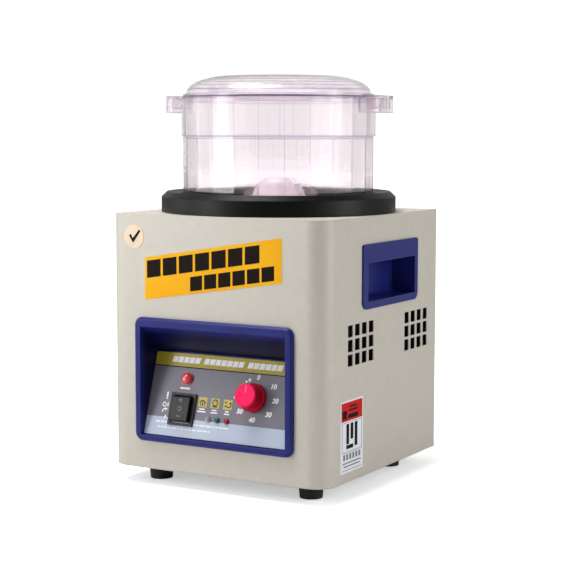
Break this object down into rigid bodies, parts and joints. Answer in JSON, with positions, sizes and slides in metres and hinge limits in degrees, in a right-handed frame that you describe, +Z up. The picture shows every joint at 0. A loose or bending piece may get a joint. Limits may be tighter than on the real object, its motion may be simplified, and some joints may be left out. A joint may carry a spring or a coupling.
{
  "type": "magnetic tumbler",
  "caption": "Bench-top magnetic tumbler: painted cabinet with sloped control panel, grip cups, vents, black seat ring, clear lidded bowl above a spinning magnet disc",
  "frame": {"origin": "floor level under the middle of the cabinet", "axes": "+Z up, +X to the machine's left-hand side as it faces out (right in a front view), front panel faces -Y"},
  "size_m": [0.2436, 0.2499, 0.3947],
  "materials": {
    "cabinet_paint": "satin powder coat with a fine texture",
    "zinc_sheet": "zinc-plated sheet",
    "foot_rubber": "matt",
    "zinc_screw": "zinc-plated",
    "black_ring": "satin black",
    "pad_rubber": "matt",
    "clear_bowl": "clear polycarbonate with a faint pink cast",
    "clear_lid": "clear polycarbonate with a faint pink cast",
    "blue_frame": "glossy navy blue",
    "panel_print": "printed overlay",
    "red_lens": "translucent red",
    "red_collar": "red",
    "black_switch": "fine matt",
    "crimson_knob": "crimson",
    "pale_mark": "pale line",
    "steel": "turned",
    "clear_led": "clear epoxy",
    "green_led": "green epoxy",
    "red_led": "red epoxy",
    "tile_print": "printed",
    "motor_paint": "grey enamel",
    "cast_alu": "as cast",
    "lamination": "stacked laminations",
    "copper_wire": "enamelled wire",
    "magnet_nickel": "nickel-plated",
    "fan_plastic": "matt",
    "board_green": "circuit board",
    "board_dark": "component bodies",
    "capacitor_white": "white sleeve",
    "brass_pin": "plated",
    "label_yellow": "printed film",
    "label_cream": "printed film",
    "label_white": "printed film"
  },
  "bodies": {
    "housing": {"body_shell": "cabinet_paint", "back_panel": "cabinet_paint", "base_plate": "zinc_sheet", "feet": "foot_rubber", "foot_screws": "zinc_screw", "base_screws": "zinc_screw", "back_screws": "zinc_screw", "seat_ring": "black_ring", "seat_screws": "zinc_screw", "seat_pad": "pad_rubber", "panel_frame": "blue_frame", "panel_plate": "panel_print", "frame_clips": "zinc_sheet", "lamp_lens": "red_lens", "lamp_collar": "red_collar", "rocker_frame": "black_switch", "rocker_body": "black_switch", "timer_body": "cast_alu", "timer_nut": "zinc_screw", "led_clear": "clear_led", "led_green": "green_led", "led_red": "red_led", "icon_tiles": "tile_print", "handle_left": "blue_frame", "handle_right": "blue_frame", "motor_can": "motor_paint", "motor_caps": "cast_alu", "motor_bolts": "zinc_screw", "stator": "lamination", "windings": "copper_wire", "bearings": "steel", "motor_plate": "zinc_sheet", "plate_posts": "steel", "post_screws": "zinc_screw", "control_board": "board_green", "board_parts": "board_dark", "board_posts": "steel", "run_capacitor": "capacitor_white", "capacitor_strap": "zinc_sheet", "inlet_body": "black_switch", "inlet_pins": "brass_pin", "inlet_screws": "zinc_screw", "fuse_holder": "black_switch", "front_label": "label_yellow", "round_label": "label_cream", "side_label": "label_white"},
    "rotor": {"motor_shaft": "steel", "rotor_core": "lamination", "cooling_fan": "fan_plastic", "magnet_hub": "cast_alu", "hub_screws": "steel", "magnet_disc": "cast_alu", "magnets": "magnet_nickel"},
    "timer_knob": {"knob": "crimson_knob", "knob_mark": "pale_mark", "timer_shaft": "steel"},
    "rocker_cap": {"rocker": "black_switch"},
    "bowl_body": {"bowl": "clear_bowl"},
    "lid_body": {"lid": "clear_lid"},
    "fuse_carrier": {"fuse_cap": "black_switch"}
  },
  "joints": [
    {"name": "rotor_spin", "type": "hinge", "parent": "housing", "child": "rotor", "pos_m": [0, 0.003, 0.2], "axis": [0, 0, 1], "continuous": true},
    {"name": "timer_turn", "type": "hinge", "parent": "housing", "child": "timer_knob", "pos_m": [0.0363, -0.10524, 0.09301], "axis": [0, 0.9521, -0.3057], "range_deg": [0, 270]},
    {"name": "rocker_tilt", "type": "hinge", "parent": "housing", "child": "rocker_cap", "pos_m": [-0.0399, -0.10827, 0.07539], "axis": [1, 0, 0], "range_deg": [-9, 9]},
    {"name": "bowl_lift", "type": "slide", "parent": "housing", "child": "bowl_body", "axis": [0, 0, 1], "range_m": [0, 0.14]},
    {"name": "lid_lift", "type": "slide", "parent": "bowl_body", "child": "lid_body", "axis": [0, 0, 1], "range_m": [0, 0.09]},
    {"name": "fuse_cap_turn", "type": "hinge", "parent": "housing", "child": "fuse_carrier", "pos_m": [-0.014, 0.119, 0.057], "axis": [0, 1, 0], "range_deg": [-90, 0]}
  ]
}
